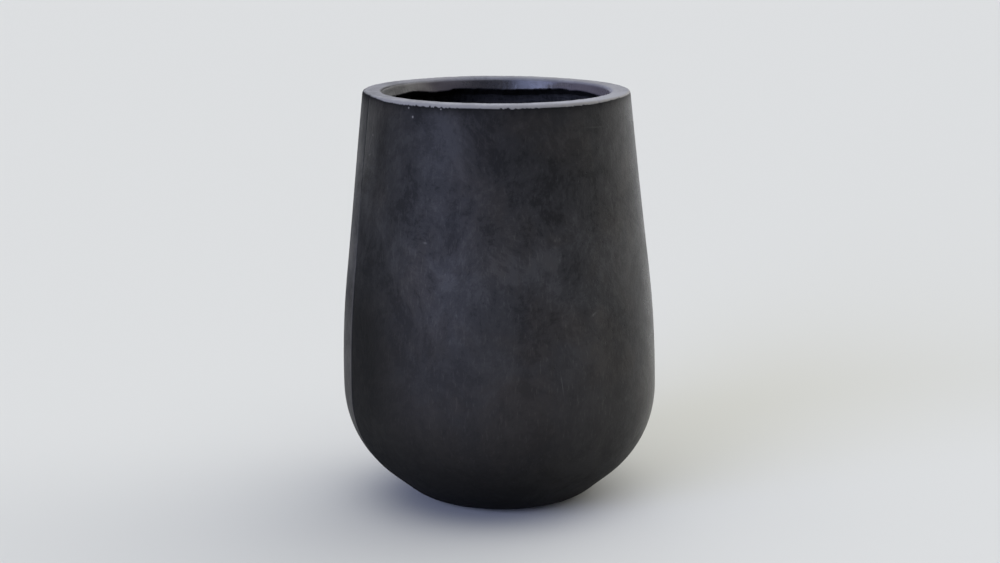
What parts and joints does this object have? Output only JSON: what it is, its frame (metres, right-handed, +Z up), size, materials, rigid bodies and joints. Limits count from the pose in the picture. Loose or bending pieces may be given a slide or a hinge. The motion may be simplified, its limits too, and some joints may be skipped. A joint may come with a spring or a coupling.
{
  "type": "floor planter",
  "caption": "Tall rounded floor planter in dark fibre clay, with a thick lip, a tapered wall over a full belly, a narrow round foot and a lift-out drain plug.",
  "frame": {"origin": "on the floor under the middle of the foot", "axes": "+Z up along the pot's axis; the mould seam lies in the XZ plane; -Y is the front half"},
  "size_m": [0.462, 0.4618, 0.6],
  "materials": {
    "clay_shell": "satin, brushed charcoal wash",
    "raw_laminate": "rough, unfinished fibre clay",
    "plug_rubber": "matt",
    "pad_rubber": "matt"
  },
  "bodies": {
    "planter": {"front_half_shell": "clay_shell", "rear_half_shell": "clay_shell", "rim_collar": "clay_shell", "left_seam_strap": "raw_laminate", "right_seam_strap": "raw_laminate", "floor_disc": "raw_laminate", "foot_pads": "pad_rubber"},
    "plug": {"drain_plug": "plug_rubber"}
  },
  "joints": [
    {"name": "plug_lift", "type": "slide", "parent": "planter", "child": "plug", "axis": [0, 0, 1], "range_m": [0, 0.62]}
  ]
}
